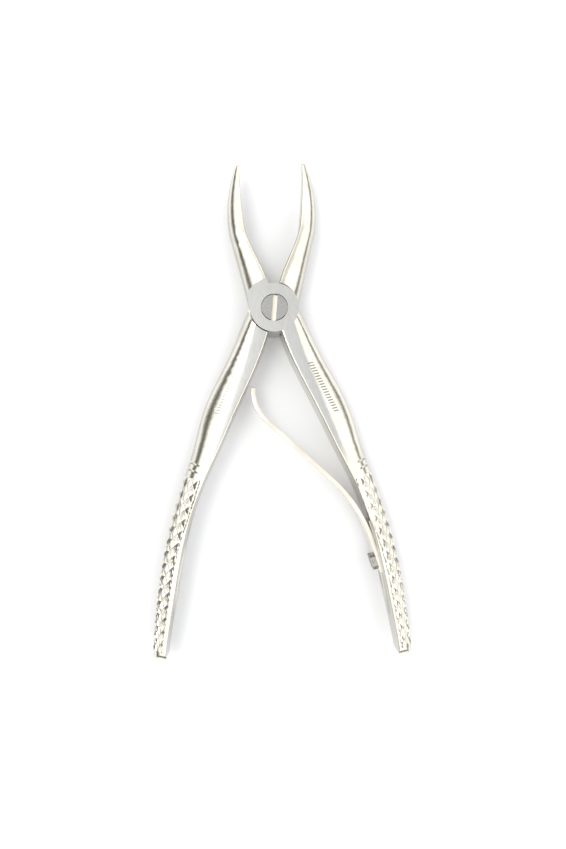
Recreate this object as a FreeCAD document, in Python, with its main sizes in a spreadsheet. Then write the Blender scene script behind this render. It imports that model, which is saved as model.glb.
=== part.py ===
# Extraction forceps for milk teeth: two crossed halves on a flush pivot screw and a leaf spring that
# pushes the handles apart.
#
# Frame: the forceps lie flat. Z = 0 is the plane they rest on, +Y runs along the line of symmetry to the
# beak tips, +X to the right, and the pivot's axis is the Z axis.
#
# Each half is drawn in its own closed pose, with the lap plane at Z = 0 and its handle at +X, and is then
# turned open and lifted by its Placement. The back half is the same forging turned over.

import FreeCAD, Part
import Sketcher
import math
import os

from FreeCAD import Placement, Rotation, Vector

doc = FreeCAD.newDocument("forceps")
Z_AXIS = Vector(0, 0, 1)
Y_AXIS = Vector(0, 1, 0)

# How far a cutting outline reaches past the solid that it cuts, and the depth of a cut right through one.
PAST = 2
THROUGH = 80
LEAST_CUT = 0.01

# ---------------------------------------------------------------------------------------------- sizes
# Lengths in millimetres, angles in degrees. "handle_" distances run from the pivot towards the handle's
# end, "beak_" distances from the pivot towards the tip, and inner and outer are distances from the line
# of symmetry with the forceps closed.

SIZES = {
    # joint
    "body_depth": 9.2,
    "disc_radius": 5.9,
    "shoulder_gap": 0.3,
    "lap_gap": 0.06,
    "cheek_radius": 7.4,
    "cheek_side": 5.8,
    "half_opening": 11.8,
    # handle: total length, and the sections along it. A "_flat" is how far a section's level faces reach,
    # and a "_share" is how far down the grip a section stands.
    "handle_length": 90.5,
    "handle_relief": 0.1,
    "closed_gap": 0.3,
    "root_start": 0.7,
    "root_outer": 6.0,
    "root_flat": 3.0,
    "shoulder_start": 5.0,
    "shoulder_inner": 0.3,
    "shoulder_outer": 7.2,
    "shoulder_flat": 3.2,
    "shank_start": 14.5,
    "shank_inner": 1.7,
    "shank_outer": 9.3,
    "shank_flat": 2.5,
    "belly_start": 25.3,
    "belly_inner": 4.4,
    "belly_outer": 12.3,
    "belly_flat": 1.3,
    "waist_start": 36.0,
    "waist_inner": 6.9,
    "waist_outer": 13.4,
    "waist_flat": 0.7,
    "grip_start": 43.0,
    "grip_inner": 8.7,
    "grip_outer": 14.2,
    "grip_flat": 0.55,
    "palm_share": 0.42,
    "palm_inner": 11.2,
    "palm_outer": 16.1,
    "heel_share": 0.76,
    "heel_inner": 11.0,
    "heel_outer": 15.5,
    "heel_thinning": 0.4,
    "end_inner": 10.4,
    "end_outer": 14.0,
    "end_flat": 0.5,
    "end_depth": 6.0,
    "end_round": 2.2,
    "edge_round": 0.45,
    # two ring grooves above the grip
    "ring_start": 41.4,
    "ring_pitch": 1.7,
    "ring_width": 0.8,
    "ring_depth": 0.65,
    "ring_lean": 9.0,
    "ring_shift": 0.7,
    "ring_inset": 0.2,
    # long hollow in the handle's inner face: where it starts, how much is left below it, and its depth
    # under the straight line between its two ends
    "hollow_start": 50.0,
    "hollow_end_land": 9.5,
    "hollow_inner": 9.5,
    "hollow_lean": 2.6,
    "hollow_width": 7.0,
    "hollow_depth": 2.0,
    # neck and beak
    "neck_start": 2.2,
    "neck_outer": 5.85,
    "neck_depth": 8.6,
    "neck_flat": 0.6,
    "neck_share": 0.6,
    "throat_start": 9.2,
    "throat_inner": 0.45,
    "throat_outer": 6.1,
    "throat_depth": 8.2,
    "bend_start": 20.7,
    "bend_inner": 2.5,
    "bend_outer": 6.6,
    "bend_depth": 7.0,
    "bend_flat": 0.5,
    "beak_length": 37.5,
    "beak_inner": 1.35,
    "beak_outer": 4.4,
    "beak_depth": 4.6,
    "beak_share": 0.6,
    "beak_flat": 0.4,
    "beak_edge_round": 0.27,
    "tip_gap": 0.12,
    "tip_width": 1.0,
    "tip_depth": 2.0,
    "tip_flat": 0.25,
    "tip_edge_round": 0.225,
    "tip_round": 0.7,
    # pivot screw
    "head_radius": 3.1,
    "head_height": 1.7,
    "head_gap": 0.2,
    "journal_radius": 2.0,
    "running_gap": 0.05,
    "thread_radius": 1.75,
    "slot_turn": -5.8,
    "slot_width": 1.1,
    "slot_depth": 0.9,
    # leaf spring and its screw: "along" places run from the pivot down the handle's inner side
    "leaf_thickness": 1.1,
    "leaf_width": 4.6,
    "leaf_tip_width": 3.0,
    "seat_angle": 5.0,
    "seat_rise": 0.5,
    "seat_depth": 0.35,
    "seat_start": 56.0,
    "pad_sink": 1.2,
    "seat_side_gap": 0.15,
    "seat_end_gap": 0.2,
    "leaf_end": 69.0,
    "leaf_bend_start": 61.0,
    "leaf_bend_radius": 34.8,
    "leaf_bend_angle": 29.6,
    "leaf_split_angle": 17.5,
    "leaf_split_gap": 0.12,
    "leaf_arm": 22.2,
    "leaf_curl_radius": 9.8,
    "leaf_curl_angle": 52.0,
    "leaf_taper_start": 5.0,
    "leaf_taper_end": 24.0,
    "leaf_screw_place": 66.3,
    "leaf_screw_radius": 1.0,
    "leaf_screw_length": 3.2,
    "leaf_screw_spare": 0.3,
    "leaf_hole_gap": 0.1,
    "leaf_head_radius": 2.1,
    "leaf_head_height": 1.25,
    "leaf_slot_width": 0.6,
    "leaf_slot_depth": 0.55,
}

sizes = doc.addObject("Spreadsheet::Sheet", "sizes")
for row, (alias, value) in enumerate(SIZES.items(), start=1):
    sizes.set("A%d" % row, alias)
    sizes.set("B%d" % row, str(value))
    sizes.setAlias("B%d" % row, alias)
doc.recompute()


def number(expression):
    """The value of an expression on the sheet, for a first position that the constraints then hold."""
    return float(sizes.evalExpression(expression))


# ------------------------------------------------------------------------------------ sketch helpers

def new_body(name):
    body = doc.addObject("PartDesign::Body", name)
    body.Label = name
    return body


def new_sketch(body, name, plane, offset=None):
    """A sketch on one of its body's origin planes, moved along the plane's normal by an expression."""
    support = [item for item in body.Origin.OriginFeatures if item.Role == plane][0]
    sketch = body.newObject("Sketcher::SketchObject", name)
    sketch.AttachmentSupport = [(support, "")]
    sketch.MapMode = "FlatFace"
    if offset:
        sketch.setExpression("AttachmentOffset.Base.z", offset)
    return sketch


def hold(sketch, name, expression, kind, *where):
    """A dimension of the sketch, bound to the sheet."""
    index = sketch.addConstraint(Sketcher.Constraint(kind, *where, number(expression)))
    sketch.renameConstraint(index, name)
    sketch.setExpression("Constraints." + name, expression)


def circle(sketch, name, radius):
    """A circle about the sketch's origin."""
    sketch.addGeometry(Part.Circle(Vector(0, 0, 0), Z_AXIS, number(radius)))
    sketch.addConstraint(Sketcher.Constraint("Coincident", 0, 3, -1, 1))
    hold(sketch, name, radius, "Radius", 0)


def polygon(sketch, corners):
    """A closed outline of straight edges. Each corner is a pair of expressions, for X and for Y."""
    first = len(sketch.Geometry)
    count = len(corners)
    points = [Vector(number(x), number(y), 0) for x, y in corners]
    for index in range(count):
        sketch.addGeometry(Part.LineSegment(points[index], points[(index + 1) % count]))
    for index, (x, y) in enumerate(corners):
        edge = first + index
        after = first + (index + 1) % count
        sketch.addConstraint(Sketcher.Constraint("Coincident", edge, 2, after, 1))
        hold(sketch, "x_%d" % edge, x, "DistanceX", -1, 1, edge, 1)
        hold(sketch, "y_%d" % edge, y, "DistanceY", -1, 1, edge, 1)


def volume(feature):
    doc.recompute()
    return feature.Shape.Volume


# -------------------------------------------------------------------------------- section of a half
# A flat inner side with rounded edges, level front and back faces next to it, and a convex outer side:
# one arc round the side that runs into a flatter arc on either face.

EIGHTH = round(math.sin(math.pi / 4) / (math.sqrt(2) - 1), 4)


def section(body, name, along, side, inner, outer, depth, flat, edge="sizes.edge_round"):
    """One section across a half. The sizes are expressions; side is +1 for the handle, whose outer side
    is at +X, and -1 for the neck and the beak. flat is how far the level faces reach from the inner
    side. The two arcs meet at 45 degrees, which gives both of their radii."""
    sketch = new_sketch(body, name, "XZ_Plane", along)
    half = number(depth) / 2
    inner_x = side * number(inner)
    outer_x = side * number(outer)
    flat_x = inner_x + side * number(flat)
    width = abs(outer_x - flat_x)
    crown_radius = half + EIGHTH * (width - half)
    side_radius = width - EIGHTH * (width - half)
    crown_centre = Vector(flat_x, half - crown_radius, 0)
    side_centre = Vector(outer_x - side * side_radius, 0, 0)
    towards = Vector(side, 1, 0).normalize()
    meet = crown_centre + towards * crown_radius
    crown_middle = crown_centre + (towards + Vector(0, 1, 0)).normalize() * crown_radius
    side_middle = side_centre + (towards + Vector(side, 0, 0)).normalize() * side_radius
    round_radius = number(edge)
    round_off = round_radius * (1 - math.sqrt(0.5))
    front = [
        Vector(inner_x, half - round_radius, 0),
        Vector(inner_x + side * round_off, half - round_off, 0),
        Vector(inner_x + side * round_radius, half, 0),
        Vector(flat_x, half, 0),
        crown_middle,
        meet,
        side_middle,
    ]
    back = [Vector(point.x, -point.y, 0) for point in front]
    far = Vector(outer_x, 0, 0)
    sketch.addGeometry([
        Part.LineSegment(back[0], front[0]),
        Part.Arc(front[0], front[1], front[2]),
        Part.LineSegment(front[2], front[3]),
        Part.Arc(front[3], front[4], front[5]),
        Part.Arc(front[5], front[6], far),
        Part.Arc(far, back[6], back[5]),
        Part.Arc(back[5], back[4], back[3]),
        Part.LineSegment(back[3], back[2]),
        Part.Arc(back[2], back[1], back[0]),
    ])
    # An arc drawn clockwise keeps its first point at its far end, so the ends are matched by place.
    ends = [[sketch.getPoint(index, 1), sketch.getPoint(index, 2)] for index in range(9)]
    for index in range(9):
        after = (index + 1) % 9
        pairs = [(a, b) for a in (1, 2) for b in (1, 2)]
        here, there = min(pairs, key=lambda pair: (ends[index][pair[0] - 1]
                                                   - ends[after][pair[1] - 1]).Length)
        sketch.addConstraint(Sketcher.Constraint("Tangent", index, here, after, there))
    sketch.addConstraint([
        Sketcher.Constraint("Vertical", 0),
        Sketcher.Constraint("Horizontal", 2),
        Sketcher.Constraint("Horizontal", 7),
        Sketcher.Constraint("PointOnObject", 4, 3, -1),
        Sketcher.Constraint("Equal", 3, 6),
        Sketcher.Constraint("Equal", 1, 8),
        Sketcher.Constraint("Equal", 4, 5),
    ])
    sign = "" if side > 0 else "-1 * "
    hold(sketch, "inner_x", "%s(%s)" % (sign, inner), "DistanceX", -1, 1, 0, 1)
    hold(sketch, "flat_x", "%s(%s + %s)" % (sign, inner, flat), "DistanceX", -1, 1, 2, 2)
    hold(sketch, "outer_x", "%s(%s)" % (sign, outer), "DistanceX", -1, 1, 4, far_end(sketch, 4, far))
    hold(sketch, "front_face", "%s / 2" % depth, "DistanceY", -1, 1, 2, 1)
    hold(sketch, "back_face", "-%s / 2" % depth, "DistanceY", -1, 1, 7, 1)
    width_size = "(%s - %s - %s)" % (outer, inner, flat)
    hold(sketch, "crown_radius", "%s / 2 + %s * (%s - %s / 2)" % (depth, EIGHTH, width_size, depth),
         "Radius", 3)
    hold(sketch, "edge_radius", edge, "Radius", 1)
    return sketch


def far_end(sketch, index, place):
    """Which end of an edge, 1 or 2, lies at a place."""
    return min((1, 2), key=lambda end: (sketch.getPoint(index, end) - place).Length)


def loft(body, name, sections):
    """A smooth solid through sections that are given in order."""
    feature = body.newObject("PartDesign::AdditiveLoft", name)
    feature.Profile = sections[0]
    feature.Sections = sections[1:]
    feature.Ruled = False
    return feature


def round_end(body, name, plane, low, high, end, reach):
    """Cuts a half's end to an arc, seen square to a plane. low and high are the places of its two sides
    across that view, end is where it ends along Y, and reach is how far the arc reaches back."""
    before = volume(body.Tip)
    sketch = new_sketch(body, name + "_outline", plane)
    away = math.copysign(1, number(end))
    tail = "%s + %d" % (end, away)
    back = "%s - %d * %s" % (end, away, reach)
    middle = "(%s + %s) / 2" % (low, high)

    def place(across, along):
        if plane == "XY_Plane":
            return Vector(number(across), number(along), 0)
        return Vector(number(along), number(across), 0)

    left = low + " - %d" % PAST
    right = high + " + %d" % PAST
    points = [place(left, tail), place(right, tail), place(right, back), place(high, back),
              place(low, back), place(left, back)]
    for first, second in ((0, 1), (1, 2), (2, 3)):
        sketch.addGeometry(Part.LineSegment(points[first], points[second]))
    sketch.addGeometry(Part.Arc(points[3], place(middle, end), points[4]))
    for first, second in ((4, 5), (5, 0)):
        sketch.addGeometry(Part.LineSegment(points[first], points[second]))
    start = far_end(sketch, 3, points[3])
    sketch.addConstraint([
        Sketcher.Constraint("Coincident", 0, 2, 1, 1),
        Sketcher.Constraint("Coincident", 1, 2, 2, 1),
        Sketcher.Constraint("Coincident", 2, 2, 3, start),
        Sketcher.Constraint("Coincident", 3, 3 - start, 4, 1),
        Sketcher.Constraint("Coincident", 4, 2, 5, 1),
        Sketcher.Constraint("Coincident", 5, 2, 0, 1),
    ])
    across_kind, along_kind = "DistanceX", "DistanceY"
    if plane != "XY_Plane":
        across_kind, along_kind = along_kind, across_kind
    corners = [(0, left, tail), (1, right, tail), (2, right, back), (4, low, back), (5, left, back)]
    for index, across, along in corners:
        hold(sketch, "across_%d" % index, across, across_kind, -1, 1, index, 1)
        hold(sketch, "along_%d" % index, along, along_kind, -1, 1, index, 1)
    hold(sketch, "across_arc", high, across_kind, -1, 1, 2, 2)
    hold(sketch, "along_arc", back, along_kind, -1, 1, 2, 2)
    hold(sketch, "radius", "((%s - %s) ^ 2 / 4 + %s ^ 2) / (2 * %s)" % (high, low, reach, reach),
         "Radius", 3)
    pocket = body.newObject("PartDesign::Pocket", name)
    pocket.Profile = sketch
    pocket.Midplane = True
    pocket.Length = THROUGH
    check_cut(before, pocket)


# ------------------------------------------------------------------------------------------- handle

def handle(body):
    """The sculpted handle, from the joint down to its rounded end."""
    depth = "(sizes.body_depth - sizes.handle_relief)"
    gap = "sizes.closed_gap / 2"
    grip = "(sizes.handle_length - sizes.grip_start)"
    heel_depth = "(%s + (sizes.end_depth - %s) * sizes.heel_thinning)" % (depth, depth)
    stations = [
        ("root", "sizes.root_start", gap, "sizes.root_outer", depth,
         "sizes.root_flat"),
        ("shoulder", "sizes.shoulder_start", "sizes.shoulder_inner", "sizes.shoulder_outer", depth,
         "sizes.shoulder_flat"),
        ("shank", "sizes.shank_start", "sizes.shank_inner", "sizes.shank_outer", depth,
         "sizes.shank_flat"),
        ("belly", "sizes.belly_start", "sizes.belly_inner", "sizes.belly_outer", depth,
         "sizes.belly_flat"),
        ("waist", "sizes.waist_start", "sizes.waist_inner", "sizes.waist_outer", depth,
         "sizes.waist_flat"),
        ("grip", "sizes.grip_start", "sizes.grip_inner", "sizes.grip_outer", depth,
         "sizes.grip_flat"),
        ("palm", "sizes.grip_start + %s * sizes.palm_share" % grip, "sizes.palm_inner",
         "sizes.palm_outer", depth, "sizes.end_flat"),
        ("heel", "sizes.grip_start + %s * sizes.heel_share" % grip, "sizes.heel_inner",
         "sizes.heel_outer", heel_depth, "sizes.end_flat"),
        ("end", "sizes.handle_length", "sizes.end_inner", "sizes.end_outer", "sizes.end_depth",
         "sizes.end_flat"),
    ]
    sections = [section(body, name, along, 1, inner, outer, deep, flat)
                for name, along, inner, outer, deep, flat in stations]
    loft(body, "handle", sections)
    round_end(body, "end_plan", "XY_Plane", "sizes.end_inner", "sizes.end_outer",
              "-sizes.handle_length", "sizes.end_round")
    round_end(body, "end_side", "YZ_Plane", "-sizes.end_depth / 2", "sizes.end_depth / 2",
              "-sizes.handle_length", "sizes.end_round")


# ------------------------------------------------------------------------------------ neck and beak

def neck_and_beak(body):
    """The level neck, from the joint to the bend, and the slender beak that thins towards its tip."""
    gap = "sizes.closed_gap / 2"
    neck = [
        section(body, "neck_root", "-sizes.neck_start", -1, gap, "sizes.neck_outer",
                "sizes.neck_depth", "sizes.neck_flat"),
        section(body, "throat", "-sizes.throat_start", -1, "sizes.throat_inner", "sizes.throat_outer",
                "sizes.throat_depth", "sizes.neck_flat"),
        section(body, "neck_middle", "-(sizes.throat_start + sizes.bend_start) / 2", -1,
                "(sizes.throat_inner + (sizes.bend_inner - sizes.throat_inner) * sizes.neck_share)",
                "(sizes.throat_outer + sizes.bend_outer) / 2",
                "(sizes.throat_depth + sizes.bend_depth) / 2", "sizes.bend_flat"),
        section(body, "bend", "-sizes.bend_start", -1, "sizes.bend_inner", "sizes.bend_outer",
                "sizes.bend_depth", "sizes.bend_flat"),
    ]
    loft(body, "neck", neck)
    tip_inner = "sizes.tip_gap / 2"
    tip_outer = "(sizes.tip_gap / 2 + sizes.tip_width)"
    middle = "-(sizes.bend_start + (sizes.beak_length - sizes.bend_start) * sizes.beak_share)"
    beak = [
        section(body, "beak_start", "-sizes.bend_start", -1, "sizes.bend_inner", "sizes.bend_outer",
                "sizes.bend_depth", "sizes.bend_flat"),
        section(body, "beak_middle", middle, -1, "sizes.beak_inner", "sizes.beak_outer",
                "sizes.beak_depth", "sizes.beak_flat", "sizes.beak_edge_round"),
        section(body, "beak_tip", "-sizes.beak_length", -1, tip_inner, tip_outer,
                "sizes.tip_depth", "sizes.tip_flat", "sizes.tip_edge_round"),
    ]
    loft(body, "beak", beak)
    round_end(body, "tip_plan", "XY_Plane", "-1 * " + tip_outer, "-1 * " + tip_inner,
              "sizes.beak_length", "sizes.tip_round")
    round_end(body, "tip_side", "YZ_Plane", "-sizes.tip_depth / 2", "sizes.tip_depth / 2",
              "sizes.beak_length", "sizes.tip_round")


# ------------------------------------------------------------------------------------------ lap joint

def lap_joint(body):
    """The disc that the screw goes through, the cheek that widens it towards the neck, and the round
    pocket on the other side of the lap plane, in which the other half's disc turns."""
    disc = new_sketch(body, "disc_outline", "XY_Plane")
    circle(disc, "radius", "sizes.disc_radius")
    pad = body.newObject("PartDesign::Pad", "disc")
    pad.Profile = disc
    pad.Midplane = True
    pad.setExpression("Length", "sizes.body_depth")

    cheek = new_sketch(body, "cheek_outline", "XY_Plane")
    radius = number("sizes.cheek_radius")
    side = number("sizes.cheek_side")
    gap = number("sizes.closed_gap / 2")
    top = Vector(-gap, math.sqrt(radius ** 2 - gap ** 2), 0)
    low = Vector(-side, math.sqrt(radius ** 2 - side ** 2), 0)
    middle = (top + low).normalize() * radius
    cheek.addGeometry([
        Part.Arc(top, middle, low),
        Part.LineSegment(low, Vector(-side, 0, 0)),
        Part.LineSegment(Vector(-side, 0, 0), Vector(-gap, 0, 0)),
        Part.LineSegment(Vector(-gap, 0, 0), top),
    ])
    start = far_end(cheek, 0, top)
    end = far_end(cheek, 0, low)
    cheek.addConstraint([
        Sketcher.Constraint("Coincident", 0, 3, -1, 1),
        Sketcher.Constraint("Coincident", 0, end, 1, 1),
        Sketcher.Constraint("Coincident", 1, 2, 2, 1),
        Sketcher.Constraint("Coincident", 2, 2, 3, 1),
        Sketcher.Constraint("Coincident", 3, 2, 0, start),
        Sketcher.Constraint("Vertical", 1),
        Sketcher.Constraint("PointOnObject", 2, 1, -1),
        Sketcher.Constraint("Horizontal", 2),
        Sketcher.Constraint("Vertical", 3),
    ])
    hold(cheek, "radius", "sizes.cheek_radius", "Radius", 0)
    hold(cheek, "side", "-sizes.cheek_side", "DistanceX", -1, 1, 1, 2)
    hold(cheek, "gap", "-sizes.closed_gap / 2", "DistanceX", -1, 1, 3, 1)
    wedge = body.newObject("PartDesign::Pad", "cheek")
    wedge.Profile = cheek
    wedge.setExpression("Length", "sizes.body_depth / 2")

    before = volume(wedge)
    bed = new_sketch(body, "lap_outline", "XY_Plane", "sizes.lap_gap / 2")
    circle(bed, "radius", "sizes.disc_radius + sizes.shoulder_gap")
    pocket = body.newObject("PartDesign::Pocket", "lap")
    pocket.Profile = bed
    pocket.setExpression("Length", "sizes.body_depth")
    check_cut(before, pocket)


def check_cut(before, feature):
    """A pocket or groove that points away from the solid would cut nothing."""
    if volume(feature) >= before - LEAST_CUT:
        raise RuntimeError("%s cuts nothing" % feature.Label)


# ---------------------------------------------------------------------------------- ring grooves

def ring_grooves(body):
    """Two grooves with a bead between them. They are turned about an axis nearer to the inner side than
    the handle's own middle, so they are deepest on the outer side and fade towards the front face."""
    before = volume(body.Tip)
    sketch = new_sketch(body, "ring_outline", "XY_Plane")
    axis_x = "sizes.grip_outer - sizes.ring_inset - sizes.body_depth / 2 - sizes.ring_shift"
    sketch.AttachmentOffset = Placement(Vector(number(axis_x), number("-sizes.ring_start"), 0),
                                        Rotation(Z_AXIS, number("sizes.ring_lean")))
    sketch.setExpression("AttachmentOffset.Base.x", axis_x)
    sketch.setExpression("AttachmentOffset.Base.y", "-sizes.ring_start")
    surface = "(sizes.body_depth / 2 + sizes.ring_shift)"
    for index in range(2):
        middle = "(-%d * sizes.ring_pitch)" % index
        polygon(sketch, [
            (surface + " + %d" % PAST, middle + " + sizes.ring_width"),
            (surface + " - sizes.ring_depth", middle + " + sizes.ring_width / 4"),
            (surface + " - sizes.ring_depth", middle + " - sizes.ring_width / 4"),
            (surface + " + %d" % PAST, middle + " - sizes.ring_width"),
        ])
    groove = body.newObject("PartDesign::Groove", "rings")
    groove.Profile = sketch
    groove.ReferenceAxis = (sketch, ["V_Axis"])
    groove.Angle = 360
    check_cut(before, groove)


# -------------------------------------------------------------------------------- inner side hollow

def inner_hollow(body):
    """The long boat-shaped hollow ground into the handle's inner side: an arc turned about an axis that
    runs along the handle, so it is as wide as the handle in the middle and pointed at both ends."""
    before = volume(body.Tip)
    width = "sizes.hollow_width"
    depth = "sizes.hollow_depth"
    across = "(%s ^ 2 / 4 + %s ^ 2) / (2 * %s)" % (width, depth, depth)
    sketch = new_sketch(body, "hollow_outline", "XY_Plane")
    away = "(%s - %s)" % (across, depth)
    x_place = "sizes.hollow_inner - %s * cos(sizes.hollow_lean * 1 deg)" % away
    y_place = "-sizes.hollow_start - %s * sin(sizes.hollow_lean * 1 deg)" % away
    sketch.AttachmentOffset = Placement(Vector(number(x_place), number(y_place), 0),
                                        Rotation(Z_AXIS, number("sizes.hollow_lean")))
    sketch.setExpression("AttachmentOffset.Base.x", x_place)
    sketch.setExpression("AttachmentOffset.Base.y", y_place)
    length = "(sizes.handle_length - sizes.hollow_start - sizes.hollow_end_land)"
    long = number(length)
    deep = number(across)
    end = number("%s - %s" % (across, depth))
    start = Vector(0, 0, 0)
    low = Vector(0, -long, 0)
    low_edge = Vector(end, -long, 0)
    high_edge = Vector(end, 0, 0)
    sketch.addGeometry([
        Part.LineSegment(start, low),
        Part.LineSegment(low, low_edge),
        Part.Arc(low_edge, Vector(deep, -long / 2, 0), high_edge),
        Part.LineSegment(high_edge, start),
    ])
    first = far_end(sketch, 2, low_edge)
    last = far_end(sketch, 2, high_edge)
    sketch.addConstraint([
        Sketcher.Constraint("Coincident", 0, 2, 1, 1),
        Sketcher.Constraint("Coincident", 1, 2, 2, first),
        Sketcher.Constraint("Coincident", 2, last, 3, 1),
        Sketcher.Constraint("Coincident", 3, 2, 0, 1),
        Sketcher.Constraint("Coincident", 0, 1, -1, 1),
        Sketcher.Constraint("Vertical", 0),
        Sketcher.Constraint("Horizontal", 1),
        Sketcher.Constraint("Horizontal", 3),
    ])
    hold(sketch, "length", length, "Distance", 0)
    hold(sketch, "edge", "%s - %s" % (across, depth), "Distance", 3)
    hold(sketch, "bow", "(%s ^ 2 / 4 + %s ^ 2) / (2 * %s)" % (length, depth, depth),
         "Radius", 2)
    groove = body.newObject("PartDesign::Groove", "hollow")
    groove.Profile = sketch
    groove.ReferenceAxis = (sketch, ["V_Axis"])
    groove.Angle = 360
    check_cut(before, groove)


def inner_side_point(along, away="0", up="0"):
    """Expressions for a point near the handle's inner side: along gives its place down the straight line
    that the inner side follows, away moves it into the handle and up moves it back along the line."""
    sine = "sin(sizes.seat_angle * 1 deg)"
    cosine = "cos(sizes.seat_angle * 1 deg)"
    line = "sizes.grip_inner + (%s - sizes.grip_start) * tan(sizes.seat_angle * 1 deg) + sizes.seat_rise"
    x_place = (line % along) + " + (%s) * %s - (%s) * %s" % (away, cosine, up, sine)
    y_place = "-(%s) + (%s) * %s + (%s) * %s" % (along, away, sine, up, cosine)
    return x_place, y_place


def place_on_inner_side(sketch, along):
    """Puts a flat sketch's origin on the inner side's line, its X axis into the handle and its Y axis up
    the line."""
    x_place, y_place = inner_side_point(along)
    sketch.AttachmentOffset = Placement(Vector(number(x_place), number(y_place), 0),
                                        Rotation(Z_AXIS, number("sizes.seat_angle")))
    sketch.setExpression("AttachmentOffset.Base.x", x_place)
    sketch.setExpression("AttachmentOffset.Base.y", y_place)


def inner_side_plane(body, name, along, away):
    """A sketch square to the handle's inner side: X runs up the handle, Y is the part's Z axis, and the
    sketch looks into the handle. away lifts its plane off the inner side's line, into the handle."""
    sketch = new_sketch(body, name, "YZ_Plane")
    x_place, y_place = inner_side_point(along, away)
    sketch.AttachmentOffset = Placement(Vector(number(y_place), 0, number(x_place)),
                                        Rotation(Y_AXIS, number("sizes.seat_angle")))
    sketch.setExpression("AttachmentOffset.Base.x", y_place)
    sketch.setExpression("AttachmentOffset.Base.z", x_place)
    return sketch


# ------------------------------------------------------------------------------------------ the halves

def half_body(name):
    """What both forgings share."""
    body = new_body(name)
    handle(body)
    neck_and_beak(body)
    lap_joint(body)
    ring_grooves(body)
    inner_hollow(body)
    return body


def round_hole(body, name, sketch, radius, length, reversed_cut=False):
    """A round pocket from the sketch's plane down to a depth, against the plane's normal or along it."""
    before = volume(body.Tip)
    circle(sketch, "radius", radius)
    pocket = body.newObject("PartDesign::Pocket", name)
    pocket.Profile = sketch
    pocket.Reversed = reversed_cut
    pocket.setExpression("Length", length)
    check_cut(before, pocket)


def front_half():
    """The half that lies on top at the joint, with the screw's counterbore and the spring's pad."""
    body = half_body("front_half")
    face = "sizes.body_depth / 2"
    round_hole(body, "counterbore", new_sketch(body, "counterbore_outline", "XY_Plane", face),
               "sizes.head_radius + sizes.head_gap", "sizes.head_height + sizes.running_gap")
    round_hole(body, "journal_hole", new_sketch(body, "journal_outline", "XY_Plane", face),
               "sizes.journal_radius + sizes.running_gap", "sizes.body_depth")

    # The leaf's bed is cleared down to the seat first. Where the hollow is deeper there is nothing to clear.
    length = "(sizes.leaf_end - sizes.seat_start) / cos(sizes.seat_angle * 1 deg)"
    bed_outline = new_sketch(body, "bed_outline", "XY_Plane")
    place_on_inner_side(bed_outline, "sizes.seat_start")
    polygon(bed_outline, [
        ("-%d" % PAST, "0"),
        ("-%d" % PAST, "-(%s + sizes.seat_end_gap)" % length),
        ("sizes.seat_depth", "-(%s + sizes.seat_end_gap)" % length),
        ("sizes.seat_depth", "0"),
    ])
    bed = body.newObject("PartDesign::Pocket", "spring_bed")
    bed.Profile = bed_outline
    bed.Midplane = True
    bed.setExpression("Length", "sizes.leaf_width + 2 * sizes.seat_side_gap")
    doc.recompute()

    pad_outline = new_sketch(body, "pad_outline", "XY_Plane")
    place_on_inner_side(pad_outline, "sizes.seat_start")
    polygon(pad_outline, [
        ("sizes.seat_depth", "0"),
        ("sizes.seat_depth", "-" + length),
        ("sizes.seat_depth + sizes.pad_sink", "-" + length),
        ("sizes.seat_depth + sizes.pad_sink", "0"),
    ])
    pad = body.newObject("PartDesign::Pad", "spring_pad")
    pad.Profile = pad_outline
    pad.Midplane = True
    pad.setExpression("Length", "sizes.leaf_width")
    doc.recompute()

    hole = inner_side_plane(body, "screw_hole_outline", "sizes.leaf_screw_place", "sizes.seat_depth")
    round_hole(body, "screw_hole", hole, "sizes.leaf_screw_radius",
               "sizes.leaf_screw_length + sizes.leaf_screw_spare", reversed_cut=True)
    return body


def back_half():
    """The half underneath, which the pivot screw is threaded into."""
    body = half_body("back_half")
    bore = new_sketch(body, "thread_outline", "XY_Plane", "sizes.body_depth / 2")
    round_hole(body, "thread_bore", bore, "sizes.thread_radius", "sizes.body_depth")
    return body


# -------------------------------------------------------------------------------------- pivot screw

def pivot_screw():
    """A slotted flush head, a plain journal through the front half and a thread in the back half."""
    body = new_body("pivot_screw")
    profile = new_sketch(body, "profile", "XZ_Plane")
    face = "sizes.body_depth / 2"
    under_head = face + " - sizes.head_height"
    step = "-sizes.lap_gap / 2"
    polygon(profile, [
        ("0", face),
        ("sizes.head_radius", face),
        ("sizes.head_radius", under_head),
        ("sizes.journal_radius", under_head),
        ("sizes.journal_radius", step),
        ("sizes.thread_radius", step),
        ("sizes.thread_radius", "-" + face),
        ("0", "-" + face),
    ])
    turned = body.newObject("PartDesign::Revolution", "turned")
    turned.Profile = profile
    turned.ReferenceAxis = (profile, ["V_Axis"])
    turned.Angle = 360
    cut_slot(body, "slot", face, "sizes.head_radius", "sizes.slot_width", "sizes.slot_depth")
    return body


def cut_slot(body, name, face, radius, width, depth):
    """A screwdriver slot right across a head."""
    before = volume(body.Tip)
    sketch = new_sketch(body, name + "_outline", "XY_Plane", face)
    side = "(%s) / 2" % width
    end = "(%s + %d)" % (radius, PAST)
    polygon(sketch, [("-" + side, "-" + end), (side, "-" + end), (side, end), ("-" + side, end)])
    pocket = body.newObject("PartDesign::Pocket", name)
    pocket.Profile = sketch
    pocket.setExpression("Length", depth)
    check_cut(before, pocket)


# ---------------------------------------------------------------------------------------- leaf spring
# The leaf is one strip. It is drawn in two pieces that meet where it leaves the handle, so that the arm
# can swing there as the leaf flexes.

def leaf_centre(turn):
    """Where the strip's middle line is once its bend has turned by an angle: away from and up the inner
    side's line, measured from the place where the bend starts."""
    away = "(sizes.seat_depth - sizes.leaf_thickness / 2 - sizes.leaf_bend_radius * (1 - cos((%s) * 1 deg)))"
    up = "(sizes.leaf_bend_radius * sin((%s) * 1 deg))"
    return away % turn, up % turn


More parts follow.
